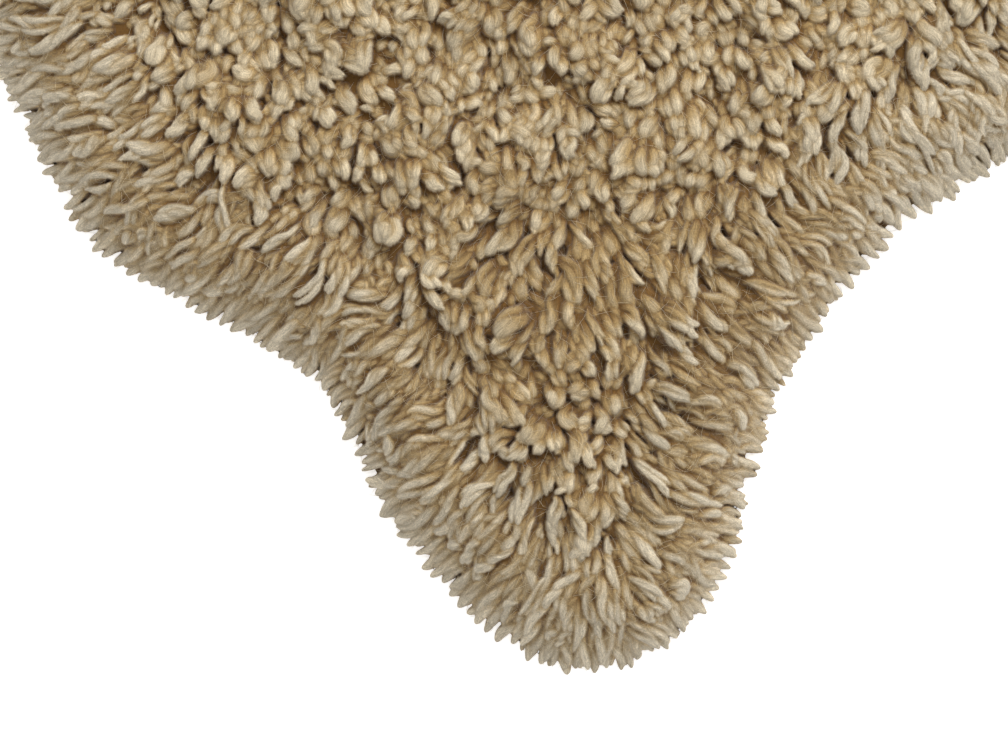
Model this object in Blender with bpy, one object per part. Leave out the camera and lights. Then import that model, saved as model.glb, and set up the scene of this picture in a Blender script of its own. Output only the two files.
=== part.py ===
"""A shag wool rug with the outline of a hide, lying flat on the floor.

It is one tufted piece: a lumpy slab as high as its pile. At the rim the pile lies outwards in
tapered locks, level on the floor, which stand apart from each other but for their roots.
Metres, +Z up. The origin is on the floor, under the middle of the rug's bounding box, and the
neck of the hide points to -Y.
"""

import math

import bmesh
import bpy
import numpy as np
from mathutils.geometry import delaunay_2d_cdt

# The line that the tips of the rim locks reach, walked counter-clockwise from the neck.
# Columns: the part of the hide, x and y in millimetres.
TIP_LINE = (
    ("neck", 42, -549),
    ("neck", 86, -524),
    ("neck", 107, -475),
    ("right shoulder", 122, -421),
    ("right shoulder", 157, -369),
    ("right shoulder", 225, -314),
    ("right foreleg", 304, -283),
    ("right foreleg", 358, -242),
    ("right foreleg", 372, -190),
    ("right foreleg", 335, -138),
    ("right flank", 298, -78),
    ("right flank", 284, 20),
    ("right flank", 296, 122),
    ("right hind leg", 334, 210),
    ("right hind leg", 375, 295),
    ("right hind leg", 352, 362),
    ("rump", 276, 390),
    ("rump", 188, 460),
    ("rump", 96, 508),
    ("tail", 6, 550),
    ("rump", -92, 505),
    ("rump", -190, 458),
    ("rump", -272, 388),
    ("left hind leg", -350, 352),
    ("left hind leg", -372, 285),
    ("left hind leg", -336, 205),
    ("left flank", -302, 118),
    ("left flank", -290, 30),
    ("left flank", -302, -52),
    ("left foreleg", -350, -106),
    ("left foreleg", -371, -166),
    ("left foreleg", -328, -216),
    ("left shoulder", -262, -246),
    ("left shoulder", -224, -308),
    ("left shoulder", -186, -362),
    ("left shoulder", -128, -394),
    ("neck", -86, -428),
    ("neck", -68, -467),
    ("neck", -42, -500),
    ("neck", -10, -532),
)

# Pile
PILE_HEIGHT = 0.0295  # floor to the mean top of the pile
SHOULDER_WIDTH = 0.045  # from the tip line in to where the pile has its full height
LUMP_HEIGHT = 0.0014  # of each of the waves that make the broad rise and fall, each way
LUMP_WAVES = (  # from crest to crest in metres, heading in degrees, start in radians
    (0.083, 20, 0.3),
    (0.061, 75, 1.9),
    (0.097, 130, 4.0),
    (0.052, 165, 5.2),
)
TUFT_HEIGHT = 0.0048  # rise and fall from one tuft to the next, each way
TUFT_PITCH = 0.0160
TUFT_SCATTER = 0.0028
TUFT_COLOUR = (0.40, 0.305, 0.182, 1)  # undyed beige wool

# Rim locks
LOCKS = 288
LOCK_FREE_LENGTH = 0.0105  # from the notch between two locks out to the tip line
LOCK_FREE_SCATTER = 0.0018
TIP_HEIGHT = 0.0026  # of a lock's blunt end, which stands on the floor
TIP_DRAW_BACK = 0.0055  # the shortest locks end this far inside the tip line
TIP_LEAN = 0.0018  # sideways, each way
NOTCH_HEIGHT = 0.0075  # of the roots at a notch
CREST_INSET = 0.0100  # where a lock's crest starts to fall to its tip
CREST_RISE = 0.0020  # above the pile's even slope
SHOULDER_INSET = 0.0215  # where a lock's crest and the furrows beside it are highest apart
FURROW_DEPTH = 0.0028  # under the pile's even slope
TOP_INSET = 0.0330  # where the rim locks run into the slab's top
TOP_CLEARANCE = 0.0096  # from there to the first tufts of the top

CURVE_STEPS = 40  # from one point of the tip line to the next
NEAREST_POINTS = 1e-7
SMOOTH_ANGLE = 50  # degrees
SEED = 11


def closed_spline(points, steps):
    """A smooth closed curve through the points: a periodic cubic spline over their distances."""
    count = len(points)
    ahead = np.roll(points, -1, axis=0)
    span = np.linalg.norm(ahead - points, axis=1)
    before = np.roll(span, 1)
    slope = (ahead - points) / span[:, None]
    system = np.zeros((count, count))
    for i in range(count):
        system[i, i - 1] = before[i]
        system[i, i] = 2 * (before[i] + span[i])
        system[i, (i + 1) % count] = span[i]
    bend = np.linalg.solve(system, 6 * (slope - np.roll(slope, 1, axis=0)))
    curve = []
    for i in range(count):
        j = (i + 1) % count
        for u in np.linspace(0, span[i], steps, endpoint=False):
            v = span[i] - u
            arch = (bend[i] * v**3 + bend[j] * u**3) / (6 * span[i])
            start = (points[i] / span[i] - bend[i] * span[i] / 6) * v
            end = (points[j] / span[i] - bend[j] * span[i] / 6) * u
            curve.append(arch + start + end)
    return np.array(curve)


class Rim:
    """The tip line, read by the distance along it and by the distance in from it."""

    def __init__(self):
        points = np.array([(x, y) for _, x, y in TIP_LINE]) / 1000
        self.curve = closed_spline(points, CURVE_STEPS)
        step = np.linalg.norm(np.roll(self.curve, -1, axis=0) - self.curve, axis=1)
        self.along = np.concatenate([[0], np.cumsum(step)[:-1]])
        self.length = step.sum()
        tangent = np.roll(self.curve, -1, axis=0) - np.roll(self.curve, 1, axis=0)
        outward = np.stack([tangent[:, 1], -tangent[:, 0]], axis=1)
        self.outward = outward / np.linalg.norm(outward, axis=1)[:, None]

    def read(self, values, along):
        columns = [np.interp(along, self.along, values[:, i], period=self.length) for i in (0, 1)]
        return np.stack(columns, axis=1)

    def inside(self, along, inset):
        """The points this far in from the tip line, at these distances along it."""
        inset = np.broadcast_to(inset, along.shape)[:, None]
        return self.read(self.curve, along) - inset * self.read(self.outward, along)

    def inset_of(self, points):
        """How far each point lies in from the tip line."""
        return np.array([np.linalg.norm(self.curve - point, axis=1).min() for point in points])


def pile_height(inset):
    """The pile's height without its lumps: it falls in a round shoulder to the tips on the floor."""
    part = np.clip(inset / SHOULDER_WIDTH, 0, 1)
    return TIP_HEIGHT + (PILE_HEIGHT - TIP_HEIGHT) * np.sin(0.5 * math.pi * part)


def lumps(points):
    """Broad rise and fall of the pile, from waves that cross."""
    rise = np.zeros(len(points))
    for pitch, heading, start in LUMP_WAVES:
        turn = math.radians(heading)
        run = points @ np.array([math.cos(turn), math.sin(turn)])
        rise += LUMP_HEIGHT * np.sin(2 * math.pi * run / pitch + start)
    return rise


def inside_of(ring, points):
    """Whether each point is inside the ring, by counting the sides east of it."""
    a, b = ring, np.roll(ring, -1, axis=0)
    x, y = points[:, None, 0], points[:, None, 1]
    spans = (a[:, 1] > y) != (b[:, 1] > y)
    rise = np.where(b[:, 1] == a[:, 1], 1, b[:, 1] - a[:, 1])
    crossing = a[:, 0] + (y - a[:, 1]) * (b[:, 0] - a[:, 0]) / rise
    return (spans & (crossing > x)).sum(axis=1) % 2 == 1


def tuft_tops(rim, ring, rng):
    """The points of the slab's top: a loose triangular grid that fills the ring."""
    low, high = rim.curve.min(axis=0), rim.curve.max(axis=0)
    rows = np.arange(low[1], high[1], TUFT_PITCH * math.sin(math.radians(60)))
    grid = []
    for row, y in enumerate(rows):
        columns = np.arange(low[0] + (row % 2) * TUFT_PITCH / 2, high[0], TUFT_PITCH)
        grid.append(np.stack([columns, np.full(len(columns), y)], axis=1))
    grid = np.concatenate(grid)
    grid += rng.uniform(-TUFT_SCATTER, TUFT_SCATTER, grid.shape)
    grid = grid[inside_of(ring, grid)]
    inset = rim.inset_of(grid)
    clear = inset > TOP_INSET + TOP_CLEARANCE
    grid, inset = grid[clear], inset[clear]
    height = pile_height(inset) + lumps(grid) + rng.uniform(-TUFT_HEIGHT, TUFT_HEIGHT, len(grid))
    return np.column_stack([grid, height])


class Body:
    """The points and faces of the solid, collected ring by ring."""

    def __init__(self):
        self.points = []
        self.faces = []

    def add(self, flat, height):
        """Adds points at these heights, and returns their numbers."""
        first = len(self.points)
        height = np.broadcast_to(height, len(flat))
        self.points += [(x, y, z) for (x, y), z in zip(flat, height)]
        return list(range(first, len(self.points)))

    def fill(self, ring, inner=()):
        """Fills the ring with triangles through the inner points."""
        numbers = list(ring) + list(inner)
        flat = [self.points[i][:2] for i in numbers]
        sides = [(i, (i + 1) % len(ring)) for i in range(len(ring))]
        inside_sides = 1
        made = delaunay_2d_cdt(flat, sides, [], inside_sides, NEAREST_POINTS)
        faces, origins = made[2], made[3]
        for face in faces:
            self.faces.append([numbers[origins[i][0]] for i in face])


def rim_locks(body, rim, rng):
    """Adds the locks round the rim. Returns the ring under them and the ring where the top starts."""
    pitch = rim.length / LOCKS
    sides = np.arange(LOCKS) * pitch
    middles = sides + pitch / 2

    def spread(reach):
        return rng.uniform(-reach, reach, LOCKS)

    notch = rim.inside(sides, LOCK_FREE_LENGTH + spread(LOCK_FREE_SCATTER))
    tip = rim.inside(middles + spread(TIP_LEAN), rng.uniform(0, TIP_DRAW_BACK, LOCKS))
    crest_height = pile_height(CREST_INSET) + CREST_RISE
    shoulder_height = pile_height(SHOULDER_INSET)

    low_notch = body.add(notch, 0)
    low_tip = body.add(tip, 0)
    high_notch = body.add(notch, NOTCH_HEIGHT)
    high_tip = body.add(tip, TIP_HEIGHT)
    crest = body.add(rim.inside(middles, CREST_INSET), crest_height)
    ridge_height = shoulder_height + CREST_RISE + spread(CREST_RISE)
    ridge = body.add(rim.inside(middles, SHOULDER_INSET), ridge_height)
    furrow = body.add(rim.inside(sides, SHOULDER_INSET), shoulder_height - FURROW_DEPTH)
    top = body.add(rim.inside(sides, TOP_INSET), pile_height(TOP_INSET) + spread(CREST_RISE))

    for i in range(LOCKS):
        j = (i + 1) % LOCKS
        # The lock's two flanks, which stand on the floor.
        body.faces.append((low_notch[i], low_tip[i], high_tip[i], high_notch[i]))
        body.faces.append((low_tip[i], low_notch[j], high_notch[j], high_tip[i]))
        # Its upper side, from the tip to the crest.
        body.faces.append((high_notch[i], high_tip[i], crest[i]))
        body.faces.append((high_tip[i], high_notch[j], crest[i]))
        # Its two slopes, from the crest up to the ridge and down to the furrows.
        body.faces.append((high_notch[i], crest[i], ridge[i], furrow[i]))
        body.faces.append((crest[i], high_notch[j], furrow[j], ridge[i]))
        # The run from the shoulder to the slab's top.
        body.faces.append((furrow[i], ridge[i], top[i]))
        body.faces.append((ridge[i], furrow[j], top[j]))
        body.faces.append((ridge[i], top[j], top[i]))

    under = [number for pair in zip(low_notch, low_tip) for number in pair]
    return under, top


def pile_material():
    material = bpy.data.materials.new("wool pile")
    material.use_nodes = True
    shader = material.node_tree.nodes["Principled BSDF"]
    shader.inputs["Base Color"].default_value = TUFT_COLOUR
    shader.inputs["Roughness"].default_value = 0.95
    shader.inputs["Metallic"].default_value = 0
    material.diffuse_color = TUFT_COLOUR
    return material


def make_rug():
    rng = np.random.default_rng(SEED)
    rim = Rim()
    body = Body()
    under, top_ring = rim_locks(body, rim, rng)
    ring = np.array([body.points[i][:2] for i in top_ring])
    tufts = tuft_tops(rim, ring, rng)
    inner = body.add(tufts[:, :2], tufts[:, 2])
    body.fill(under)
    body.fill(top_ring, inner)

    points = np.array(body.points)
    low, high = points.min(axis=0), points.max(axis=0)
    points[:, :2] -= (low[:2] + high[:2]) / 2

    mesh = bpy.data.meshes.new("rug")
    mesh.from_pydata(points.tolist(), [], body.faces)
    form = bmesh.new()
    form.from_mesh(mesh)
    bmesh.ops.recalc_face_normals(form, faces=form.faces)
    form.to_mesh(mesh)
    form.free()
    mesh.materials.append(pile_material())
    mesh.shade_smooth()
    mesh.set_sharp_from_angle(angle=math.radians(SMOOTH_ANGLE))
    rug = bpy.data.objects.new("rug", mesh)
    bpy.context.scene.collection.objects.link(rug)


for leftover in list(bpy.data.objects):
    bpy.data.objects.remove(leftover)
make_rug()
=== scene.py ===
"""The looks of a shag wool rug in the outline of a hide, lying flat on a pale floor.

The rug is built the way it is made: a woven base, a bed of dense wool on it, and thousands of
curly locks of pile. The locks stand in clumps on the rug's back and lie outwards at its rim,
where their points make the edge. Metres, +Z up; +Y runs from the neck of the hide to its tail.
"""

import math

import bpy
import numpy as np
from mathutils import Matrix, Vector
from mathutils.bvhtree import BVHTree
from mathutils.geometry import delaunay_2d_cdt
from mathutils.kdtree import KDTree


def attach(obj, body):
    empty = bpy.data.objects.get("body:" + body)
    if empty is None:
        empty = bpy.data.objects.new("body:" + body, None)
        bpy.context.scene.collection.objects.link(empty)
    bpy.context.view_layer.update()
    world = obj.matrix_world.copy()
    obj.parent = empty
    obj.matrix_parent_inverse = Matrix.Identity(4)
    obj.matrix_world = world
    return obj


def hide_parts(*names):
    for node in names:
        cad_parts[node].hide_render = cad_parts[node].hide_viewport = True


SEED = 20

# The rim, read from the solid
FLOOR_BAND = 0.0001  # the solid's corners up to this height stand on the floor
OUTSIDE_HEIGHT = 0.002  # of the pile past the solid's outline
RIM_STEPS = 1600
RIM_SMOOTHING = 0.009
TIP_REACH = 0.0046  # from the smoothed line of the solid's tips out to the longest tips
NECK_REACH = 0.0030  # this much further at the end of the neck
NECK_END = (0.505, 0.545)  # in front of the rug's middle: where that starts, and is whole

# Camera: it looks straight down on the neck of the hide
VIEW_CENTRE = (-0.0067, -0.4149)
VIEW_WIDTH = 0.4637
VIEW_TOP = VIEW_CENTRE[1] + VIEW_WIDTH * 0.375  # the picture is 0.75 times as high as wide
VIEW_HEIGHT = 0.005  # over the floor, where the view is this wide
LENS_MM = 120
SENSOR_MM = 36

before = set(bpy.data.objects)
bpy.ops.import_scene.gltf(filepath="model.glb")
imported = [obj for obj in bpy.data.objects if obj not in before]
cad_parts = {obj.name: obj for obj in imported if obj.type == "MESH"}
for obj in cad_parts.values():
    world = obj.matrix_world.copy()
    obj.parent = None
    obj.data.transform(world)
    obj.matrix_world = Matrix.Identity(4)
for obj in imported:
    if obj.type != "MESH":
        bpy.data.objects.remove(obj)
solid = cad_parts["rug"].data
solid_corners = [corner.co[:] for corner in solid.vertices]
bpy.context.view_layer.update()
scene = bpy.context.scene
rng = np.random.default_rng(SEED)


# -------- the rim and the pile's surface


class Rim:
    """The line that the tips at the rim reach, and how far in from it a point lies."""

    def __init__(self):
        ring = floor_ring()
        # Its corners are the solid's tips and notches in turn.
        line, _ = evenly(max(ring[0::2], ring[1::2], key=enclosed_area), RIM_STEPS)
        line, _ = evenly(smoothed(line, RIM_SMOOTHING), RIM_STEPS)
        reach = TIP_REACH + NECK_REACH * smooth_step(-line[:, 1], *NECK_END)
        self.curve, self.step = evenly(line + reach[:, None] * outward_of(line), RIM_STEPS)
        self.outward = outward_of(self.curve)
        self.length = self.step * RIM_STEPS
        self.tree = tree_of(self.curve)

    def read(self, values, along):
        place = np.mod(along / self.step, RIM_STEPS)
        low = np.floor(place).astype(int)
        part = (place - low)[:, None]
        return values[low % RIM_STEPS] * (1 - part) + values[(low + 1) % RIM_STEPS] * part

    def inside(self, along, inset):
        """The points this far in from the tips, at these distances along the rim."""
        return self.read(self.curve, along) - np.reshape(inset, (-1, 1)) * self.read(self.outward, along)

    def inset_of(self, points):
        """How far in from the tips each point lies; negative outside."""
        inset = np.empty(len(points))
        for i, (x, y) in enumerate(points):
            _, nearest, distance = self.tree.find((x, y, 0))
            inside = np.dot(self.curve[nearest] - (x, y), self.outward[nearest]) >= 0
            inset[i] = distance if inside else -distance
        return inset

    def flow(self, points):
        """The way out of the rug that all of its rim gives each point, as unit vectors."""
        flow = np.empty((len(points), 2))
        rim = self.curve[::4]
        for start in range(0, len(points), 1000):
            away = points[start : start + 1000, None, :] - rim[None]
            weight = 1 / (np.sum(away**2, axis=2) + 1e-6) ** 2
            flow[start : start + 1000] = -np.sum(away * weight[..., None], axis=1)
        return flow / np.maximum(np.linalg.norm(flow, axis=1), 1e-12)[:, None]


def floor_ring():
    """The corners of the solid's outline on the floor, one after another, anticlockwise."""
    corners, number = np.unique(np.round(solid_corners, 5), axis=0, return_inverse=True)
    number = number.reshape(-1)
    edges = set()
    for face in solid.polygons:
        around = number[list(face.vertices)].tolist()
        if np.all(corners[around, 2] < FLOOR_BAND):
            edges.update(zip(around, around[1:] + around[:1]))
    following = {a: b for a, b in edges if (b, a) not in edges}
    ring = [min(following)]
    while following[ring[-1]] != ring[0]:
        ring.append(following[ring[-1]])
    return corners[ring[::-1], :2]


def tree_of(points):
    """A tree that finds the nearest of these points."""
    tree = KDTree(len(points))
    for i, (x, y) in enumerate(points):
        tree.insert((x, y, 0), i)
    tree.balance()
    return tree


def smooth_step(value, low, high):
    share = np.clip((value - low) / (high - low), 0, 1)
    return share * share * (3 - 2 * share)


def enclosed_area(ring):
    x, y = ring[:, 0], ring[:, 1]
    return 0.5 * abs(np.dot(x, np.roll(y, -1)) - np.dot(y, np.roll(x, -1)))


def evenly(ring, count):
    """The ring again, with this many points the same distance apart, and that distance."""
    closed = np.vstack([ring, ring[:1]])
    along = np.concatenate([[0], np.cumsum(np.linalg.norm(np.diff(closed, axis=0), axis=1))])
    places = np.linspace(0, along[-1], count, endpoint=False)
    points = np.column_stack([np.interp(places, along, closed[:, i]) for i in (0, 1)])
    return points, along[-1] / count


def smoothed(ring, width):
    """The ring's points averaged with their neighbours, by a bell curve of this width in metres."""
    count = len(ring)
    _, step = evenly(ring, count)
    offsets = np.minimum(np.arange(count), count - np.arange(count)) * step
    bell = np.exp(-0.5 * (offsets / width) ** 2)
    bell /= bell.sum()
    spectrum = np.fft.fft(bell)
    columns = [np.fft.ifft(np.fft.fft(ring[:, i]) * spectrum).real for i in (0, 1)]
    return np.column_stack(columns)


def outward_of(ring):
    tangent = np.roll(ring, -1, axis=0) - np.roll(ring, 1, axis=0)
    outward = np.column_stack([tangent[:, 1], -tangent[:, 0]])
    return outward / np.linalg.norm(outward, axis=1)[:, None]


def pile_top(points):
    """The height of the solid's top under each point, and low at the rim."""
    tree = BVHTree.FromPolygons(solid_corners, [tuple(face.vertices) for face in solid.polygons])
    heights = np.zeros(len(points))
    for i, (x, y) in enumerate(points):
        hit = tree.ray_cast(Vector((x, y, 1)), Vector((0, 0, -1)))
        heights[i] = hit[0].z if hit[0] is not None else OUTSIDE_HEIGHT
    return heights


class Lattice:
    """Values on a square lattice over the rug, read anywhere between its points."""

    def __init__(self, values_at):
        self.shape = tuple(np.ceil((HIGH - LOW) / LATTICE_PITCH).astype(int) + 2)
        cells = np.stack(np.meshgrid(*map(np.arange, self.shape), indexing="ij"), axis=-1)
        self.values = values_at(LOW + LATTICE_PITCH * cells.reshape(-1, 2)).reshape(self.shape)

    def read(self, points):
        place = np.clip((points - LOW) / LATTICE_PITCH, 0, np.array(self.shape) - 1.001)
        low = place.astype(np.int32)
        part = (place - low).astype(np.float32)
        i, j = low[..., 0], low[..., 1]
        a, b = part[..., 0], part[..., 1]
        near = self.values[i, j] * (1 - a) + self.values[i + 1, j] * a
        far = self.values[i, j + 1] * (1 - a) + self.values[i + 1, j + 1] * a
        return near * (1 - b) + far * b


def blurred(values, width):
    """The grid of values averaged over its neighbours, by a bell curve this many cells wide."""
    offsets = np.arange(-int(3 * width) - 1, int(3 * width) + 2)
    bell = np.exp(-0.5 * (offsets / width) ** 2)
    bell /= bell.sum()
    for axis in (0, 1):
        padding = [(0, 0), (0, 0)]
        padding[axis] = (offsets[-1], offsets[-1])
        padded = np.pad(values, padding, mode="edge")
        total = np.zeros_like(values)
        for start, share in enumerate(bell):
            cut = [slice(None), slice(None)]
            cut[axis] = slice(start, start + values.shape[axis])
            total += np.float32(share) * padded[tuple(cut)]
        values = total
    return values


LATTICE_PITCH = 0.003
LATTICE_MARGIN = 0.006  # past the tips
TOP_BLUR = 1.6  # in the lattice's cells: takes the solid's larger tufts out of its top

rim = Rim()
LOW = rim.curve.min(axis=0) - LATTICE_MARGIN
HIGH = rim.curve.max(axis=0) + LATTICE_MARGIN
top = Lattice(pile_top)
top.values = blurred(top.values.astype(np.float32), TOP_BLUR)
inset_map = Lattice(rim.inset_of)
flow_map = [Lattice(lambda points, i=i: rim.flow(points)[:, i]) for i in (0, 1)]


def flow_at(points):
    """The way out of the rug at each point."""
    return np.column_stack([part.read(points) for part in flow_map])


# -------- meshes from arrays


def mesh_object(name, points, faces, smooth=True):
    mesh = bpy.data.meshes.new(name)
    mesh.vertices.add(len(points))
    mesh.vertices.foreach_set("co", np.asarray(points, np.float32).ravel())
    faces = np.asarray(faces, np.int32)
    sides = faces.shape[1]
    mesh.loops.add(faces.size)
    mesh.loops.foreach_set("vertex_index", faces.ravel())
    mesh.polygons.add(len(faces))
    mesh.polygons.foreach_set("loop_start", np.arange(len(faces), dtype=np.int32) * sides)
    mesh.polygons.foreach_set("loop_total", np.full(len(faces), sides, np.int32))
    mesh.update(calc_edges=True)
    if smooth:
        mesh.shade_smooth()
    made = bpy.data.objects.new(name, mesh)
    scene.collection.objects.link(made)
    return made


def add_attribute(mesh, name, values):
    """Gives each corner its value, or all of them this one."""
    if np.isscalar(values):
        values = np.full(len(mesh.vertices), values)
    values = np.asarray(values, np.float32)
    kind, field = ("FLOAT", "value") if values.ndim == 1 else ("FLOAT_VECTOR", "vector")
    attribute = mesh.attributes.new(name, kind, "POINT")
    attribute.data.foreach_set(field, values.ravel())


def unit_rows(vectors):
    return vectors / np.maximum(np.linalg.norm(vectors, axis=-1, keepdims=True), 1e-9)


def unit(angle):
    return np.stack([np.cos(angle), np.sin(angle)], axis=-1)


LEAST_HEIGHT = 0.0008  # of a wisp's middle over the floor
PLAIN = {  # the character of a wisp, where nothing else is said
    "curl": 0,  # how far it has turned at its tip
    "sway": 0,  # how far it turns to and fro
    "sway_start": 0,
    "crimp": 0,  # the same again, in shorter waves
    "aside": 0,  # how far from its lock's middle line it lies
    "winding": 0,  # where round that line it starts
    "twist": 0,  # how far round it goes
    "rise": 0,
    "dive": 0,  # how far its tip bends down
    "tilt": 0,  # how much lower it starts than it ends
    "flat": 0.75,  # how high it is for its width
    "pointed": 0,  # 0, rounded, to 1, pointed
}
ROOT_SINK = 0.008  # how deep its root is
ROOT_END = 0.38  # of its length: so far it comes up from there
TIP_START = 0.62  # of its length: from here on its strands gather, and its tip bends down
CRIMP_PITCH = 2.7  # waves of crimp for each wave of sway


class Wisps:
    """Wisps of wool: where each starts, the way it runs, how it bends and how thick it is."""

    def __init__(self, root, heading, reach, tip=np.nan, **character):
        count = len(root)
        self.root = root
        self.heading = heading
        self.reach = reach
        self.tip = np.zeros((count, 2)) + tip  # where it must end, if anywhere
        for key, value in {**PLAIN, **character}.items():
            setattr(self, key, np.zeros(count) + value)
        self.chance = rng.uniform(-1, 1, (count, 3))

    def pick(self, which):
        picked = object.__new__(Wisps)
        for key, value in self.__dict__.items():
            setattr(picked, key, value[which])
        return picked

    def laid(self, t):
        """Each wisp's middle line at these parts of its length, its left side and its radius."""
        each = self.pick(np.s_[:, None])
        turn = 2 * math.pi * (t + each.sway_start)
        crimp = each.crimp * np.sin(CRIMP_PITCH * turn)
        out = unit(each.heading + each.curl * t**2 + each.sway * np.sin(turn) + crimp)
        step = np.diff(t, prepend=0) * each.reach
        plan = each.root + np.cumsum(step[..., None] * out, axis=1)
        left = np.stack([-out[..., 1], out[..., 0]], axis=-1)
        gathered = smooth_step(t, TIP_START, 1.0) * (0.45 + 0.40 * each.pointed)
        spread = np.interp(t, (0, 0.5), (0.7, 1.0)) * (1 - gathered)
        wound = each.winding + each.twist * t
        plan = plan + (each.aside * spread * np.cos(wound))[..., None] * left
        held = ~np.isnan(self.tip[:, 0])
        plan[held] += (self.tip[held] - plan[held, -1])[:, None]

        height = top.read(plan) + each.rise
        height += 0.6 * each.aside * spread * np.sin(wound)
        height -= ROOT_SINK * np.clip(1 - t / ROOT_END, 0, 1) ** 2
        height -= each.tilt * np.clip(1 - t / 0.8, 0, 1)
        height -= each.dive * np.clip((t - TIP_START) / (1 - TIP_START), 0, 1) ** 2
        centre = np.concatenate([plan, np.maximum(height, LEAST_HEIGHT)[..., None]], axis=2)
        return centre, left, each.radius * thickness(t, each.pointed)


def thickness(t, pointed):
    """How thick a wisp is along its length, as a part of its radius: thin at its root."""
    swelling = 0.55 + 0.45 * np.sin(0.5 * math.pi * np.clip(t / 0.60, 0, 1))
    rounded = np.sqrt(np.clip(1 - (np.clip(t - 0.72, 0, 1) / 0.28) ** 2, 0, 1))
    leaf = np.interp(t, (0, 0.74, 0.86, 0.94, 0.98, 1.0), (1, 1, 0.90, 0.64, 0.34, 0.0))
    return swelling * (rounded * (1 - pointed) + leaf * pointed)


# -------- the pile's relief


def beyond_view(points):
    """How far past the sides and the top of the camera's view each point lies."""
    across = np.abs(points[..., 0] - VIEW_CENTRE[0]) - VIEW_WIDTH / 2
    return np.maximum(across, points[..., 1] - VIEW_TOP)


CELL = 0.00036  # of the grid that the relief is worked out on
FINE, COARSE = 2, 4  # cells along a face's side, for what the camera sees and for the rest
FINE_MARGIN = 0.006  # the small faces go this far past the camera's view
BED_DEPTH = 0.0045  # of the wool between the locks, under the solid's top
LEAST_BED = 0.0006
BED_RISE = (0.004, 0.020)  # from the outline in: the bed's tone sinks from tips' to roots'
COVERED = 0.0095  # further in than this from the tips, wool covers every place
FINE_BLUR, COARSE_BLUR = 0.75, 2.1  # in cells, for what the camera sees and for the rest
HOLLOW_BLUR, CREVICE_BLUR = 8.0, 3.0  # in cells: how far round a place its depth is taken from
FIRST_PART = 0.18  # of a wisp's length, whose root lies deep in the pile
PATTERN_SHIFT = (0.004, 0.004, 0.02)  # how far a wisp's fibres are shifted: across, up, along
END_PART = 0.55  # past this part of its length, a rim lock widens the outline


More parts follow.
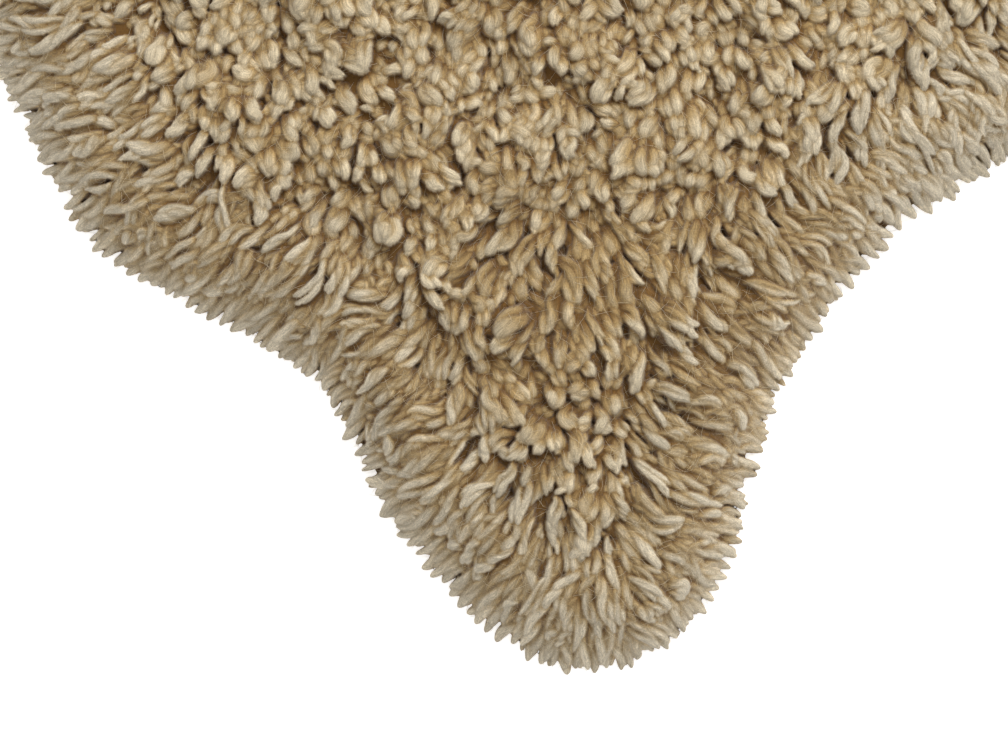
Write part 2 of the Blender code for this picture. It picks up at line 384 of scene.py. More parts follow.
class Relief:
    """The pile's top over the whole rug, as a fine grid.

    Each cell keeps the height of the wisp that lies uppermost in it, and the place on that wisp.
    """

    def __init__(self):
        block = COARSE * CELL
        self.low = np.floor(LOW / block) * block
        self.shape = tuple(np.ceil((HIGH - self.low) / block).astype(int) * COARSE + 1)
        points = self.points()
        self.smooth_top = top.read(points).astype(np.float32)
        self.height = np.maximum(self.smooth_top - BED_DEPTH, LEAST_BED)
        # How far inside the wool's outline each cell lies; negative outside it.
        self.cover = (inset_map.read(points) - COVERED).astype(np.float32)
        # The place along the wisp, 0 to 1; the bed between the locks counts as their roots.
        self.part = (0.75 - 0.50 * smooth_step(self.cover, *BED_RISE)).astype(np.float32)
        self.tint = np.zeros(self.shape, np.float32)
        self.straight = np.zeros((*self.shape, 3), np.float32)

    def points(self):
        x = self.low[0] + CELL * np.arange(self.shape[0])
        y = self.low[1] + CELL * np.arange(self.shape[1])
        return np.stack(np.meshgrid(x, y, indexing="ij"), axis=-1).astype(np.float32)

    def near(self, centre, radius, margin=0.0):
        """The cells under each ball of these middles and radii, an equal step away at a time.

        Yields the cells, the balls that they belong to, and the ways from the balls' middles.
        """
        cells = (centre - self.low) / CELL
        nearest = np.rint(cells).astype(np.int32)
        part = (cells - nearest).astype(np.float32)
        index = nearest[:, 0] * self.shape[1] + nearest[:, 1]
        order = np.argsort(-radius)
        index, part = index[order], part[order]
        reach = (radius[order] + margin).astype(np.float32) / np.float32(CELL)
        widest = int(reach[0]) + 1
        for i in range(-widest, widest + 1):
            for j in range(-widest, widest + 1):
                enough = np.searchsorted(-reach, 0.71 - math.hypot(i, j))
                away = np.array([i, j], np.float32) - part[:enough]
                squared = away[:, 0] ** 2 + away[:, 1] ** 2
                ball = np.nonzero(squared < reach[:enough] ** 2)[0]
                cell = index[ball] + i * self.shape[1] + j
                yield cell, order[ball], away[ball] * np.float32(CELL), squared[ball] * np.float32(CELL**2)

    def lay(self, wisps, step=0.0006):
        order = np.argsort(wisps.reach)
        for batch in np.array_split(order, max(1, len(order) // 1200)):
            self.lay_batch(wisps.pick(batch), step)

    def lay_batch(self, wisps, step):
        t = np.linspace(FIRST_PART, 1, int(wisps.reach.max() / step) + 3)
        centre, left, radius = wisps.laid(t)
        wisp, place = np.divmod(np.arange(radius.size), len(t))
        middle = centre[..., 2].ravel().astype(np.float32)
        flat = wisps.flat[wisp].astype(np.float32)
        radius = radius.ravel().astype(np.float32)
        heights = self.height.reshape(-1)
        laid = []
        for cell, ball, away, squared in self.near(centre[..., :2].reshape(-1, 2), radius):
            height = middle[ball] + flat[ball] * np.sqrt(np.maximum(radius[ball] ** 2 - squared, 0))
            np.maximum.at(heights, cell, height)
            laid.append((cell, ball, away, height))
        run = (wisps.reach[:, None] * t).ravel()
        left = left.reshape(-1, 2)
        straight = self.straight.reshape(-1, 3)
        for cell, ball, away, height in laid:
            upper = height >= heights[cell]
            cell, ball, away = cell[upper], ball[upper], away[upper]
            shift = wisps.chance[wisp[ball]] * PATTERN_SHIFT
            self.part.reshape(-1)[cell] = t[place[ball]]
            self.tint.reshape(-1)[cell] = wisps.tint[wisp[ball]]
            straight[cell] = shift
            straight[cell, 0] = np.sum(away * left[ball], axis=1) + shift[:, 0]
            straight[cell, 2] = run[ball] + shift[:, 2]

    def widen(self, wisps, step=0.0005):
        """Grows the outline by the ends of these wisps."""
        t = np.linspace(0, 1, int(wisps.reach.max() / step) + 2)
        centre, _, radius = wisps.laid(t)
        end = t > END_PART
        radius, cover = radius[:, end].ravel(), self.cover.reshape(-1)
        for cell, ball, _, squared in self.near(centre[:, end, :2].reshape(-1, 2), radius, 0.001):
            np.maximum.at(cover, cell, (radius[ball] - np.sqrt(squared)).astype(np.float32))

    def settle(self):
        """Softens the heights, and works out how the pile faces and how deep each place lies."""
        fine = blurred(self.height, FINE_BLUR)
        coarse = blurred(self.height, COARSE_BLUR)
        share = 1 - smooth_step(beyond_view(self.points()), 0.0, 0.75 * FINE_MARGIN)
        share = share.astype(np.float32)
        self.height = fine * share + coarse * (1 - share)
        self.softened = 1 - share
        slope = np.gradient(self.height, CELL)
        self.normal = unit_rows(np.stack([-slope[0], -slope[1], np.ones(self.shape, np.float32)], axis=-1))
        above = self.height - self.smooth_top
        self.hollow = blurred(above, HOLLOW_BLUR) - above
        self.crevice = blurred(above, CREVICE_BLUR) - above

    def at(self, points, values):
        """The value of the cell nearest to each point."""
        cell = np.rint((points - self.low) / CELL).astype(int)
        cell = np.clip(cell, 0, np.array(self.shape) - 1)
        return values[cell[..., 0], cell[..., 1]]


# -------- where the locks grow


def scattered(spacing, scatter):
    """A loose triangular grid of points over the rug's box."""
    rows = np.arange(LOW[1], HIGH[1], spacing * math.sin(math.radians(60)))
    grid = []
    for row, y in enumerate(rows):
        columns = np.arange(LOW[0] + (row % 2) * spacing / 2, HIGH[0], spacing)
        grid.append(np.column_stack([columns, np.full(len(columns), y)]))
    grid = np.concatenate(grid)
    return grid + rng.uniform(-scatter, scatter, grid.shape)


# Broad waves over the rug: their pitches, and the seed of their directions.
LEAN_WAVES = (0.11, 0.083, 0.14), 5
TURN_WAVES = (0.041, 0.067, 0.031), 6
UPRIGHT_WAVES = (0.05, 0.033, 0.071), 7
LIFT_WAVES = (0.034, 0.047, 0.026), 8
RIM_WAVES = (0.09, 0.05, 0.13), 9
SWAY_WAVES = (0.043, 0.029, 0.060), 12
NAP_WAVES = (0.16, 0.11, 0.21), 14


def waves(points, pitches, seed):
    """A smooth random number from about -1 to 1 at each point, from crossing waves."""
    draw = np.random.default_rng(seed)
    total = np.zeros(len(points))
    for pitch in pitches:
        heading = draw.uniform(0, 2 * math.pi)
        start = draw.uniform(0, 2 * math.pi)
        run = points @ np.array([math.cos(heading), math.sin(heading)])
        total += np.sin(2 * math.pi * run / pitch + start)
    return total / math.sqrt(len(pitches))


# For what the camera sees and for the rest of the rug: the locks' spacing and half width.
LOCK_SIZES = ((0.0058, 0.0030), (0.0068, 0.0035))
LOCK_INSET = 0.024  # no lock but the rim's starts nearer to the tips
BACK_REACH = 0.0205  # of a lock that lies on the rug's back
UPRIGHT_REACH = 0.0070  # an upright one reaches this much less
COMBED_REACH = (0.026, 0.040)
LEAST_REACH = 0.006
END_INSET = (0.012, 0.006)  # no lock but the rim's ends nearer to the tips: least, and chance
UNDER_REACH = 0.012  # the most that the shorter locks beneath reach
UNDER_DEPTH = 0.0028
UNDER_WIDTH = 0.9  # of the upper locks'
RIM_LOCK_PITCH = 0.0062
RIM_WAY_INSET = 0.020  # where the rim's locks take their way from
COMBED_INSET = (0.056, 0.086)  # from the tips in to where the combing starts to end, and ends
BRUSHED_MIDDLE = (0.052, -0.362)  # a part of the neck's back that lies combed too
BRUSHED_RADII = (0.075, 0.034)
SHOULDER = (0.05, 0.13), (0.10, 0.18)  # left and right of the middle: where the way turns
RUMP = (0.02, 0.42)  # where the lean turns from the neck to the tail
CLUMP_SPACING = 0.0170
CLUMP_BORDER = 0.006


class Clumps:
    """Groups of locks that lean one way together."""

    def __init__(self):
        self.places = scattered(CLUMP_SPACING, 0.42 * CLUMP_SPACING)
        count = len(self.places)
        self.turn = rng.normal(0, 0.5, count)
        self.spin = rng.normal(0, 0.6, count)
        self.lift = rng.normal(0, 0.0015, count)
        self.tint = rng.normal(0, 0.5, count)
        self.tree = tree_of(self.places)

    def around(self, points):
        """The clump that each point belongs to, and how near its border the point lies, 0 to 1."""
        clump = np.empty(len(points), int)
        border = np.empty(len(points))
        for i, (x, y) in enumerate(points):
            (_, clump[i], near), (_, _, next_near) = self.tree.find_n((x, y, 0), 2)
            border[i] = 1 - min((next_near - near) / CLUMP_BORDER, 1)
        return clump, border


def combed_way(points):
    """The way combed locks run: out over the rim, and away from the neck on the shoulders."""
    way = flow_at(points)
    left, right = SHOULDER
    way[:, 0] += 0.20 * smooth_step(points[:, 0], *right) - 0.50 * smooth_step(-points[:, 0], *left)
    return unit_rows(way)


def combed_share(points):
    """How much of the combed zone's character each point has: 1 at the rim, 0 on the back."""
    edge = 1 - smooth_step(inset_map.read(points), *COMBED_INSET)
    away = np.sum(((points - BRUSHED_MIDDLE) / BRUSHED_RADII) ** 2, axis=1)
    return np.maximum(edge, 0.60 * np.exp(-(away**2)))


def make_locks(clumps, spacing, width):
    """The locks of the pile, in view or beyond it: curly on the back, combed out at the rim."""
    roots = scattered(spacing, 0.36 * spacing)
    seen = beyond_view(roots) < FINE_MARGIN
    roots = roots[seen if spacing == LOCK_SIZES[0][0] else ~seen]
    roots = roots[inset_map.read(roots) > LOCK_INSET]
    count = len(roots)
    edge = combed_share(roots)
    back = 1 - edge
    clump, border = clumps.around(roots)

    # Near the rim the locks lie straight out; on the back they lean towards the neck, and from
    # the rump on towards the tail, with no parting between.
    flow = combed_way(roots)
    from_clump = roots - clumps.places[clump]
    whorl = np.column_stack([-from_clump[:, 1], from_clump[:, 0]]) / CLUMP_SPACING
    lean_back = 1.6 * smooth_step(roots[:, 1], *RUMP) - 1.0
    lean = np.column_stack([0.55 * waves(roots, *LEAN_WAVES), lean_back])
    heading = flow * (0.25 + 0.75 * edge)[:, None] + lean * (0.9 * back)[:, None]
    heading += whorl * (clumps.spin[clump] * back)[:, None]
    heading += unit_rows(from_clump) * (0.30 * back)[:, None]
    heading = np.arctan2(heading[:, 1], heading[:, 0])
    heading += clumps.turn[clump] * (0.22 + 0.58 * back)
    heading += 0.30 * waves(roots, *TURN_WAVES)
    heading += rng.normal(0, 0.24, count) * (0.35 + 0.65 * back)

    upright = np.clip(0.45 + 0.4 * waves(roots, *UPRIGHT_WAVES), 0, 1)
    upright = np.clip(upright + rng.normal(0, 0.25, count), 0, 1)
    scale = width / LOCK_SIZES[0][1]
    reach = back * (BACK_REACH - UPRIGHT_REACH * upright) * scale
    reach = reach + edge * rng.uniform(*COMBED_REACH, count)
    tips = roots + reach[:, None] * unit(heading)
    least, chance = END_INSET
    over = np.maximum(least + rng.uniform(0, chance, count) - inset_map.read(tips), 0)
    reach = np.maximum(reach - over, LEAST_REACH)
    lift = clumps.lift[clump] * (0.35 + 0.65 * back) + rng.normal(0, 0.0010, count)
    lift += 0.0010 * back * waves(roots, *LIFT_WAVES)
    # Side by side, combed locks wave together.
    together = 0.45 * waves(roots, *SWAY_WAVES) + rng.normal(0, 0.08, count)
    return Wisps(
        roots,
        heading,
        reach,
        curl=rng.normal(0, 0.4, count) * (0.22 + 0.78 * back),
        sway=back * rng.normal(0, 0.30, count) + edge * rng.uniform(0.10, 0.48, count),
        sway_start=back * rng.uniform(0, 1, count) + edge * together,
        crimp=rng.normal(0, 0.24, count) * (0.20 + 0.80 * back),
        rise=lift - 0.0022 * border * (0.3 + 0.7 * back),
        twist=rng.choice((-1, 1), count) * (1.2 + 4.8 * edge) * rng.uniform(0.6, 1.4, count),
        dive=back * rng.uniform(0.0, 0.0022, count) + edge * rng.uniform(0.0003, 0.0015, count),
        tilt=0.0048 - 0.0036 * edge,
        radius=width * (1.22 - 0.36 * edge) * np.exp(rng.normal(0, 0.20, count)),
        flat=0.62 + 0.13 * edge,
        pointed=np.clip(0.45 + 0.45 * edge + rng.normal(0, 0.25, count), 0, 1),
        tint=0.6 * clumps.tint[clump] + rng.normal(0, 0.7, count),
    )


def split(locks, number):
    """The strands of each lock, wound loosely round each other and gathered at its tip."""
    count = len(locks.reach)
    start = rng.uniform(0, 2 * math.pi, count)
    # Combed locks hold together closer.
    close = combed_share(locks.root)
    strands = []
    for part in range(number):
        strand = locks.pick(slice(None))
        strand.aside = (0.50 - 0.10 * close) * locks.radius
        strand.winding = start + 2 * math.pi * part / number + rng.normal(0, 0.3, count)
        strand.twist = locks.twist + rng.normal(0, 0.4, count)
        strand.rise = locks.rise + rng.normal(0, 0.00020, count)
        strand.reach = locks.reach * (1 - rng.uniform(0, 0.20, count))
        strand.heading = locks.heading + rng.normal(0, 0.06, count)
        strand.sway = locks.sway + rng.normal(0, 0.10, count)
        strand.crimp = locks.crimp * rng.uniform(0.6, 1.4, count)
        strand.radius = locks.radius * (rng.uniform(0.50, 0.68, count) + 0.10 * close)
        short = locks.reach - strand.reach
        strand.tip = locks.tip - short[:, None] * unit(locks.heading)
        strand.tint = locks.tint + rng.normal(0, 0.5, count)
        strand.chance = rng.uniform(-1, 1, (count, 3))
        strands.append(strand)
    return strands


def rim_locks(inset, root_inset, shift, rise, draw_back):
    """One row of pointed locks all round the rim, side by side."""
    count = int(rim.length / RIM_LOCK_PITCH)
    along = (np.arange(count) + shift) * rim.length / count
    along += rng.normal(0, 0.0007, count)
    tips = rim.inside(along, inset + np.abs(rng.normal(0, draw_back, count)))
    way = combed_way(rim.inside(along, RIM_WAY_INSET))
    heading = np.arctan2(way[:, 1], way[:, 0]) + 0.16 * waves(tips, *RIM_WAVES)
    heading += rng.normal(0, 0.06, count)
    reach = root_inset - inset + rng.normal(0, 0.002, count)
    return Wisps(
        tips - reach[:, None] * unit(heading),
        heading,
        reach,
        sway=rng.normal(0, 0.22, count),
        sway_start=rng.uniform(0, 1, count),
        rise=rise + rng.normal(0, 0.0008, count),
        dive=rng.uniform(0.0004, 0.0014, count),
        tilt=0.0010,
        twist=rng.choice((-1, 1), count) * rng.uniform(3.0, 7.0, count),
        tip=tips,
        radius=np.clip(rng.normal(0.0033, 0.0004, count), 0.0025, 0.0042),
        pointed=1,
        tint=rng.normal(0, 0.8, count),
    )


# -------- materials


READ = ("straight", "tone", "tint", "combed")  # the attributes that the wool's material reads
# the colour of the roots, and of the painted shade in the crevices, which darkens the tone towards it
WOOL_ROOT_AND_SHADE = (0.160, 0.080, 0.020, 1)
WOOL_MIDDLE = (0.390, 0.267, 0.118, 1)
WOOL_TIP = (0.61, 0.515, 0.357, 1)
COMBED_DYE = (0.97, 1.0, 1.08, 1)  # the combed wool near the rim is greyer than the curls
FIBRES = (1450, 1450, 330)  # a metre: across the strands, and along them
FRIZZ = 1500  # the same for the loose ends of the fibres, which lie every way
THREADS = 95
THREAD_DARK = (0.30, 0.24, 0.16, 1)
THREAD_PALE = (0.52, 0.45, 0.34, 1)


class Shading:
    """A new material's nodes. What goes into a node is a value or another node's output."""

    def __init__(self, name):
        self.material = bpy.data.materials.new(name)
        self.material.use_nodes = True
        self.tree = self.material.node_tree
        self.shader = self.tree.nodes["Principled BSDF"]

    def feed(self, node, inputs):
        for key, value in inputs.items():
            if isinstance(value, bpy.types.NodeSocket):
                self.tree.links.new(value, node.inputs[key])
            else:
                node.inputs[key].default_value = value

    def node(self, kind, output, inputs, **settings):
        """The output of this name of a new node."""
        made = self.tree.nodes.new("ShaderNode" + kind)
        for key, value in settings.items():
            setattr(made, key, value)
        self.feed(made, inputs)
        return made.outputs[output]

    def product(self, one, other):
        return self.node("Math", "Value", {0: one, 1: other}, operation="MULTIPLY")

    def dyed(self, colour, dye, share):
        inputs = {"A": colour, "B": dye, "Factor": share}
        return self.node("Mix", "Result", inputs, data_type="RGBA", blend_type="MULTIPLY")

    def spread(self, value, lowest, highest, least, most):
        """What runs from lowest to highest, made to run from least to most."""
        ends = {"From Min": lowest, "From Max": highest, "To Min": least, "To Max": most}
        return self.node("MapRange", "Result", {"Value": value, **ends})

    def ramp(self, value, first, last, *between):
        """The colour that these stops, each a place and a colour, give the value."""
        made = self.tree.nodes.new("ShaderNodeValToRGB")
        stops = made.color_ramp.elements
        stops[0].position, stops[0].color = first
        stops[1].position, stops[1].color = last
        for place, colour in between:
            stops.new(place).color = colour
        self.feed(made, {"Fac": value})
        return made.outputs["Color"]

    def finish(self, **inputs):
        """The material, with these inputs of its surface: Base_Color is Base Color."""
        self.feed(self.shader, {key.replace("_", " "): value for key, value in inputs.items()})
        return self.material


def wool_material():
    """Wool in locks: fibres along each lock, darker roots, painted shade and light carried by the tone,
    and no two locks quite alike.
    """
    wool = Shading("wool_locks")

    def attribute(key, output="Fac"):
        return wool.node("Attribute", output, {}, attribute_name=key)

    # Light and dark fibres run along each strand.
    along = wool.node("Mapping", "Vector", {"Vector": attribute("straight", "Vector"), "Scale": FIBRES})
    grain = {"Vector": along, "Scale": 1.0, "Detail": 3.0, "Roughness": 0.7, "Distortion": 0.9}
    streak = wool.spread(wool.node("TexNoise", "Fac", grain), 0.34, 0.66, 0.68, 1.25)
    place = wool.node("TexCoord", "Object", {})
    grain = {"Vector": place, "Scale": FRIZZ, "Detail": 2.0, "Roughness": 0.65}
    fibre = wool.product(streak, wool.spread(wool.node("TexNoise", "Fac", grain), 0.3, 0.7, 0.80, 1.20))
    level = wool.product(fibre, wool.spread(attribute("tint"), -2.0, 2.0, 0.84, 1.13))

    colour = wool.ramp(attribute("tone"), (0.0, WOOL_ROOT_AND_SHADE), (0.85, WOOL_TIP), (0.42, WOOL_MIDDLE))
    colour = wool.dyed(colour, level, 1.0)
    colour = wool.dyed(colour, COMBED_DYE, attribute("combed"))
    return wool.finish(
        Base_Color=colour,
        Normal=wool.node("Bump", "Normal", {"Height": fibre, "Strength": 0.8, "Distance": 0.0004}),
        Roughness=0.9,
        Specular_IOR_Level=0.2,
        Sheen_Weight=0.25,
        Sheen_Roughness=0.45,
    )


def weave_material():
    """The plain cotton weave of the base."""
    weave = Shading("cotton_weave")
    band = {"Vector": weave.node("TexCoord", "Object", {}), "Scale": THREADS, "Distortion": 0.8}
    bands = [weave.node("TexWave", "Fac", band, bands_direction=axis) for axis in ("X", "Y")]
    thread = weave.product(*bands)
    return weave.finish(
        Base_Color=weave.ramp(thread, (0.0, THREAD_DARK), (1.0, THREAD_PALE)),
        Normal=weave.node("Bump", "Normal", {"Height": thread, "Distance": 0.0006}),
        Roughness=0.95,
    )


WOOL = wool_material()


# -------- the pieces

PIECE_FACES = 95000  # grid faces a piece, each of two triangles
HEM_HEIGHT = 0.0003
CUT_FALL = 0.35  # the pile's edge is so high for the height within it,
CUT_HEIGHT = (0.0006, 0.0020)  # but no lower or higher than this
CUT_SHARE = (0.03, 0.97)  # where it lies between a corner inside and one outside
BASE_THICKNESS = 0.0025
BASE_INSET = 0.011
BASE_STEPS = 420
base_line = rim.curve - BASE_INSET * rim.outward
UNDERSIDE_INSET = 0.0125
UNDERSIDE_STEPS = 500
UNDERSIDE_TONE = 0.4
EPSILON = 1e-7
STRAY_SPACING = math.sqrt(0.12 / 5000 / 0.866)  # 5000 of them on 0.12 square metres
STRAY_REACH = (0.006, 0.014)
STRAY_RADIUS = (0.00005, 0.00009)
STRAY_ARCH = (0.0001, 0.0012)
STRAY_LIFT = 0.0001
STRAY_INSET = 0.006  # none starts nearer to the tips
STRAY_MARGIN = 0.01  # nor further than this past the camera's view
STRAY_TONE = (0.8, 1.0)  # at its root and its tip


def dress(piece, material):
    piece.data.materials.append(material)
    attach(piece, "root")
    return piece


def wool_piece(piece, **values):
    """Gives a mesh the attributes that the wool's material reads, and the wool."""
    for key, value in values.items():
        add_attribute(piece.data, key, value)
    return dress(piece, WOOL)


def tubes(name, wisps, lines, t, sides, tone):
    """One mesh of thin round tubes along these lines, closed at both ends."""
    centre, left, radius = lines
    count, rings = len(centre), len(t) - 1
    along = unit_rows(np.gradient(centre, axis=1))
    across = unit_rows(np.concatenate([left, np.zeros((count, rings + 1, 1))], axis=2))
    over = np.cross(along, across)
    away = unit(np.linspace(0, 2 * math.pi, sides, endpoint=False))
    away = radius[:, :rings, None, None] * away
    walls = centre[:, :rings, None] + away[..., :1] * across[:, :rings, None]
    walls = walls + away[..., 1:] * over[:, :rings, None]
    points = np.concatenate([walls.reshape(count, -1, 3), centre[:, rings:]], axis=1)
    faces = []
    for ring in range(rings - 1):
        for side in range(sides):
            a = ring * sides + side
            b = ring * sides + (side + 1) % sides
            faces += [(a, b, b + sides), (a, b + sides, a + sides)]
    last = (rings - 1) * sides
    faces += [(last + side, last + (side + 1) % sides, rings * sides) for side in range(sides)]
    faces += [(0, side + 1, side) for side in range(1, sides - 1)]
    each = rings * sides + 1
    faces = np.array(faces)[None] + (np.arange(count) * each)[:, None, None]

    # The same tube laid out straight, for the fibres that run along it.
    place = np.append(np.repeat(t[:rings], sides), 1.0)
    straight = np.zeros((count, each, 3))
    straight[:, :-1, :2] = away.reshape(count, -1, 2)
    straight[..., 2] = place * wisps.reach[:, None]
    straight += wisps.chance[:, None]
    return wool_piece(
        mesh_object(name, points.reshape(-1, 3), faces.reshape(-1, 3)),
        straight=straight.reshape(-1, 3),
        tone=np.tile(np.interp(place, (0, 1), tone), count),
        tint=np.repeat(wisps.tint, each),
        combed=0,
    )


def halves(a, b, c, d):
    """Four-sided faces cut in two: all of their first halves, then all of their second."""
    return np.concatenate([np.column_stack([a, b, c]), np.column_stack([a, c, d])])


def clipped(faces, cover, values):
    """The faces cut off where the cover falls below nothing.

    values holds what each corner has, by name, and grows by the new corners on the cut.
    Returns the faces and, for each corner, whether it is a new one.
    """
    inside = cover > 0
    number = inside[faces].sum(axis=1)
    whole = faces[number == 3]
    one, two = faces[number == 1], faces[number == 2]
    # The odd corner out comes first.
    first = np.argmax(inside[one], axis=1)
    one = np.take_along_axis(one, (first[:, None] + np.arange(3)) % 3, axis=1)
    first = np.argmin(inside[two], axis=1)
    two = np.take_along_axis(two, (first[:, None] + np.arange(3)) % 3, axis=1)
    cuts = np.concatenate([one[:, [0, 1]], one[:, [0, 2]], two[:, [1, 0]], two[:, [2, 0]]])
    pairs, which = np.unique(cuts, axis=0, return_inverse=True)
    which = which.reshape(-1) + len(cover)
    a, b, c, d = np.split(which, np.cumsum([len(one), len(one), len(two)]))
    ends = np.column_stack([one[:, 0], a, b])
    faces = np.concatenate([whole, ends, halves(c, two[:, 1], two[:, 2], d)])
    inner, outer = pairs[:, 0], pairs[:, 1]
    share = np.clip(cover[inner] / (cover[inner] - cover[outer]), *CUT_SHARE)
    points = values["points"]
    moved = points[inner] * (1 - share[:, None]) + points[outer] * share[:, None]
    moved[:, 2] = np.clip(CUT_FALL * points[inner, 2], *CUT_HEIGHT)
    for key, value in values.items():
        values[key] = np.concatenate([value, value[inner]])
    values["points"][len(cover) :] = moved
    return faces, np.arange(len(values["points"])) >= len(cover)


def relief_piece(name, relief, chosen, step, hems):
    """A piece of the pile's top: the faces of the grid that are chosen, and its own hem."""
    columns, rows = np.nonzero(chosen)
    width = relief.shape[1]
    a = (columns * width + rows) * step
    b = a + step * width
    c = b + step
    d = a + step
    height = relief.height.reshape(-1)
    first = np.abs(height[a] - height[c]) <= np.abs(height[b] - height[d])
    other = np.concatenate([np.column_stack([a, b, d]), np.column_stack([b, c, d])])
    faces = np.where(np.tile(first, 2)[:, None], halves(a, b, c, d), other)
    used, faces = np.unique(faces, return_inverse=True)
    cells = np.column_stack(np.divmod(used, width))
    values = {
        "points": np.column_stack([relief.low + CELL * cells, height[used]]),
        "normal": relief.normal.reshape(-1, 3)[used],
    }
    for key in READ:
        value = getattr(relief, key)
        values[key] = value.reshape(-1, *value.shape[2:])[used]
    faces, new = clipped(faces.reshape(-1, 3), relief.cover.reshape(-1)[used], values)

    # The hem closes the pile down to the floor where it was cut.
    edges = np.concatenate([faces[:, [0, 1]], faces[:, [1, 2]], faces[:, [2, 0]]])
    edges = edges[np.all(new[edges], axis=1)]
    _, place, times = np.unique(np.sort(edges, axis=1), axis=0, return_index=True, return_counts=True)
    border = edges[place[times == 1]]
    corners, lower = np.unique(border, return_inverse=True)
    lower = lower.reshape(-1, 2) + len(values["points"])
    hem = halves(border[:, 0], lower[:, 0], lower[:, 1], border[:, 1])
    hems.append(values["points"][border, :2])
    for key, value in values.items():
        values[key] = np.concatenate([value, value[corners]])
    values["points"][-len(corners) :, 2] = HEM_HEIGHT
    faces = np.concatenate([faces, hem])
    kept, faces = np.unique(faces, return_inverse=True)
    made = mesh_object(name, values["points"][kept], faces.reshape(-1, 3))
    made.data.normals_split_custom_set_from_vertices(values["normal"][kept])
    return wool_piece(made, **{key: values[key][kept] for key in READ})


RIM_ROWS = (  # inset of the tips, inset of the roots, shift along the rim, rise, draw back
    (0.0000, 0.033, 0.0, -0.0008, 0.0012),
    (0.0022, 0.038, 0.5, -0.0005, 0.0014),
    (0.0100, 0.046, 0.25, -0.0002, 0.0050),
)

PAINTED_NAP_LIGHT_AND_SHADE = (  # painted light and shade: soft patches drawn darker or lighter where the light falls differently on the wool's lie: middle, radius, change of tone
    (0.012, -0.392, 0.052, -0.22),
    (-0.085, -0.345, 0.050, -0.09),
    (0.112, -0.315, 0.045, -0.09),
    (0.205, -0.300, 0.050, 0.26),
    (-0.225, -0.270, 0.050, 0.13),
    (-0.040, -0.475, 0.030, 0.14),
    (0.020, -0.525, 0.040, 0.07),
    (0.100, -0.440, 0.040, -0.08),
    (0.024, -0.246, 0.034, -0.14),
    (-0.080, -0.283, 0.030, 0.09),
    (-0.120, -0.392, 0.022, 0.12),
    (0.100, -0.365, 0.028, -0.07),
)


def lay_locks(relief):
    """Lays all the locks of the pile into the relief."""
    clumps = Clumps()
    for spacing, width in LOCK_SIZES:
        step = 0.2 * width
        for wisps in split(make_locks(clumps, spacing, width), 3):
            relief.lay(wisps, step)
        # Shorter locks under them, lying every way, fill the gaps.
        under = make_locks(clumps, spacing, UNDER_WIDTH * width)
        back = 1 - combed_share(under.root)
        under.heading += rng.normal(0, 0.9, len(back)) * np.sqrt(back)
        under.rise -= UNDER_DEPTH
        under.reach = np.minimum(under.reach, UNDER_REACH)
        for wisps in split(under, 2):
            relief.lay(wisps, step)
    for row in RIM_ROWS:
        for wisps in split(rim_locks(*row), 3):
            relief.lay(wisps)
            relief.widen(wisps)


def shade(relief):
    """Works out how combed each cell is, and its tone: from the roots' to the tips', with painted shade in
    the crevices and painted light and shade in broad patches.
    """
    points = relief.points()
    inset = inset_map.read(points)
    relief.combed = 1 - smooth_step(inset, 0.045, 0.085)
    # Painted shade: the deeper a place lies between the locks, the darker its colour.
    painted_crevice_shade = 1000 * (relief.hollow + (0.6 + 0.7 * relief.combed) * relief.crevice)
    painted_crevice_shade *= 1 + 0.45 * relief.softened
    # At the rim, where the floor is near, the painted shade leaves no place dark.
    painted_crevice_shade = np.minimum(painted_crevice_shade, 1.2 + 9 * smooth_step(inset, 0.004, 0.022))
    painted_crevice_shade *= 0.12 + 0.14 * smooth_step(inset, 0.006, 0.022) * (0.64 + 0.46 * relief.combed)
    random_tone_and_painted_shade = 0.03 * waves(points.reshape(-1, 2), *NAP_WAVES).reshape(relief.shape)
    # Painted light and shade: soft patches laid over the random broad waves of tone.
    for x, y, radius, change in PAINTED_NAP_LIGHT_AND_SHADE:
        away = ((points[..., 0] - x) ** 2 + (points[..., 1] - y) ** 2) / radius**2
        random_tone_and_painted_shade += change * np.exp(-away)
    along = (0.95 - 0.20 * relief.combed) * (relief.part - 0.74)
    relief.tone = np.clip(0.53 + 0.02 * relief.combed + along - painted_crevice_shade + random_tone_and_painted_shade, 0, 1)


def make_pile(relief):
    """The pile's top as pieces: small faces where the camera looks, larger ones elsewhere."""
    side = VIEW_WIDTH / 2 + FINE_MARGIN
    block = np.array([VIEW_CENTRE[0] - side, VIEW_CENTRE[0] + side, VIEW_TOP + FINE_MARGIN])
    block = np.rint((block - relief.low[[0, 0, 1]]) / (COARSE * CELL)).astype(int) * COARSE
    left, right, far = np.clip(block, 0, None)
    right = min(right, relief.shape[0] - 1)

    # Where small faces meet large ones, their corners lie on the large ones' sides.
    height = relief.height
    for column in (left, right):
        between = np.arange(FINE, far, COARSE)
        height[column, between] = (height[column, between - FINE] + height[column, between + FINE]) / 2
    between = np.arange(left + FINE, right, COARSE)
    height[between, far] = (height[between - FINE, far] + height[between + FINE, far]) / 2

    inside = relief.cover[::FINE, ::FINE] > 0
    made, hems = [], []
    for step in (FINE, COARSE):
        corners = inside[:: step // FINE, :: step // FINE]
        chosen = corners[:-1, :-1] | corners[1:, :-1] | corners[1:, 1:] | corners[:-1, 1:]
        seen = np.zeros_like(chosen)
        seen[left // step : right // step, : far // step] = True
        chosen &= seen if step == FINE else ~seen
        per_row = np.cumsum(chosen.sum(axis=0))
        pieces = int(per_row[-1] / PIECE_FACES) + 1
        cuts = np.searchsorted(per_row, per_row[-1] * np.arange(1, pieces) / pieces)
        for start, end in zip([0, *cuts], [*cuts, chosen.shape[1]]):
            part = np.zeros_like(chosen)
            part[:, start:end] = chosen[:, start:end]
            made.append(relief_piece(f"pile_{len(made) + 1}", relief, part, step, hems))
    return made, np.concatenate(hems)


def ring_sides(count, first=0):
    """The sides of a ring of this many corners."""
    return [(first + i, first + (i + 1) % count) for i in range(count)]


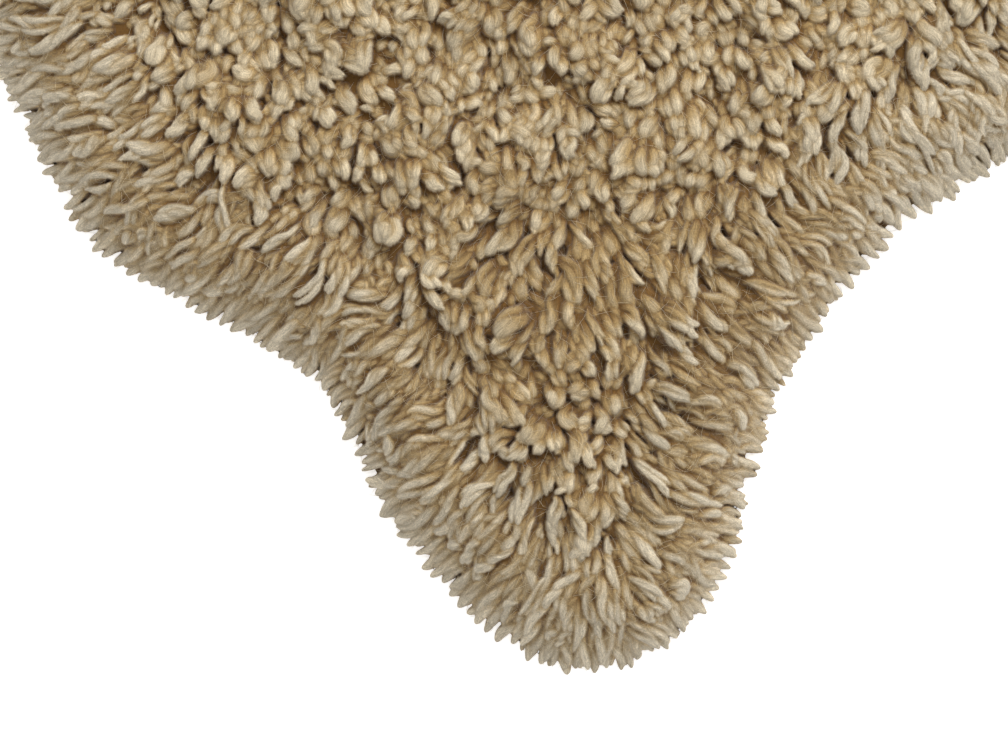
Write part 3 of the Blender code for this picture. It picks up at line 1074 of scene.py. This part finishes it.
def make_underside(relief, hem):
    """The undersides of the locks at the rim, from the pile's hem in to the base."""
    flat, ends = np.unique(np.round(hem.reshape(-1, 2), 6), axis=0, return_inverse=True)
    ring, _ = evenly(rim.curve - UNDERSIDE_INSET * rim.outward, UNDERSIDE_STEPS)
    edges = [tuple(pair) for pair in ends.reshape(-1, 2).tolist()] + ring_sides(len(ring), len(flat))
    flat = [tuple(point) for point in np.concatenate([flat, ring]).tolist()]
    points, _, faces, *_ = delaunay_2d_cdt(flat, edges, [], 0, EPSILON)
    points = np.array([tuple(point) for point in points])
    faces = np.array([tuple(face) for face in faces])[:, ::-1]
    middle = points[faces].mean(axis=1)
    faces = faces[(relief.at(middle, relief.cover) > 0) & (rim.inset_of(middle) < UNDERSIDE_INSET)]
    used, faces = np.unique(faces, return_inverse=True)
    points = np.column_stack([points[used], np.full(len(used), HEM_HEIGHT)])
    piece = mesh_object("pile_underside", points, faces.reshape(-1, 3), smooth=False)
    return wool_piece(piece, straight=points, tone=UNDERSIDE_TONE, tint=0, combed=1)


def make_strays(relief):
    """Fine loose fibres that lie on the pile."""
    roots = scattered(STRAY_SPACING, 0.5 * STRAY_SPACING)
    roots = roots[(inset_map.read(roots) > STRAY_INSET) & (beyond_view(roots) < STRAY_MARGIN)]
    count = len(roots)
    flow = flow_at(roots) + (0, -0.4)
    wisps = Wisps(
        roots,
        np.arctan2(flow[:, 1], flow[:, 0]) + rng.normal(0, 0.9, count),
        rng.uniform(*STRAY_REACH, count),
        curl=rng.normal(0, 1.0, count),
        radius=rng.uniform(*STRAY_RADIUS, count),
        tint=rng.normal(1.5, 0.5, count),
    )
    t = np.linspace(0, 1, 5) ** 0.8
    centre, left, _ = wisps.laid(t)
    arch = rng.uniform(*STRAY_ARCH, count)[:, None] * np.sin(math.pi * t)
    centre[..., 2] = relief.at(centre[..., :2], relief.height) + STRAY_LIFT + arch
    radius = wisps.radius[:, None] * np.interp(t, (0, 0.3, 1), (1, 1, 0.3))
    return tubes("pile_strays", wisps, (centre, left, radius), t, 3, STRAY_TONE)


def make_base():
    """The woven base that the wool is tufted into, flat on the floor."""
    count = BASE_STEPS
    ring, _ = evenly(base_line, count)
    corners = [tuple(point) for point in ring]
    _, _, faces, origin, *_ = delaunay_2d_cdt(corners, ring_sides(count), [], 1, EPSILON)
    face = np.array([[origin[i][0] for i in face] for face in faces])
    here, there = np.array(ring_sides(count)).T
    walls = halves(here, there, there + count, here + count)
    faces = np.concatenate([face[:, ::-1], face + count, walls])
    points = np.column_stack([np.tile(ring, (2, 1)), np.repeat((0, BASE_THICKNESS), count)])
    base = mesh_object("base_cloth", points, faces, smooth=False)
    return dress(base, weave_material())


relief = Relief()
lay_locks(relief)
relief.settle()
shade(relief)
pile, hem = make_pile(relief)
pile += [make_underside(relief, hem), make_strays(relief)]
base = make_base()
for piece in (*pile, base):
    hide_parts("rug")


# -------- floor, light and camera


FLOOR_HALF = 9
FLOOR_DROP = 0.0002  # under the base, so that no two faces lie in one plane
WORLD_COLOUR = (1, 0.99, 0.97, 1)
WORLD_STRENGTH = 0.68
KEY_PLACE = (0.9, 1.1, 1.7)
KEY_TARGET = (0, -0.2, 0)
KEY_SIZE = 1.1
KEY_POWER = 46
KEY_COLOUR = (1.0, 0.985, 0.955)


def make_floor():
    corners = FLOOR_HALF * np.array([(-1, -1, 0), (1, -1, 0), (1, 1, 0), (-1, 1, 0)])
    floor = mesh_object("floor", corners, [(0, 1, 2), (0, 2, 3)], smooth=False)
    floor.location.z = -FLOOR_DROP
    glow = {"Emission_Color": (1, 1, 1, 1), "Emission_Strength": 0.6}
    paint = Shading("floor").finish(Base_Color=(0.9, 0.9, 0.9, 1), Roughness=0.9, **glow)
    floor.data.materials.append(paint)


def make_light():
    world = bpy.data.worlds.new("studio")
    world.use_nodes = True
    background = world.node_tree.nodes["Background"]
    background.inputs["Color"].default_value = WORLD_COLOUR
    background.inputs["Strength"].default_value = WORLD_STRENGTH
    scene.world = world
    data = bpy.data.lights.new("key", "AREA")
    data.shape = "SQUARE"
    data.size = KEY_SIZE
    data.energy = KEY_POWER
    data.color = KEY_COLOUR
    lamp = bpy.data.objects.new("key", data)
    lamp.location = KEY_PLACE
    lamp.rotation_euler = (Vector(KEY_TARGET) - Vector(KEY_PLACE)).to_track_quat("-Z", "Y").to_euler()
    scene.collection.objects.link(lamp)
    scene.view_settings.view_transform = "Standard"


def make_camera():
    data = bpy.data.cameras.new("camera")
    data.lens = LENS_MM
    data.sensor_width = SENSOR_MM
    camera = bpy.data.objects.new("camera", data)
    height = VIEW_WIDTH * LENS_MM / SENSOR_MM
    camera.location = (*VIEW_CENTRE, height + VIEW_HEIGHT)
    scene.collection.objects.link(camera)
    scene.camera = camera


make_floor()
make_light()
make_camera()
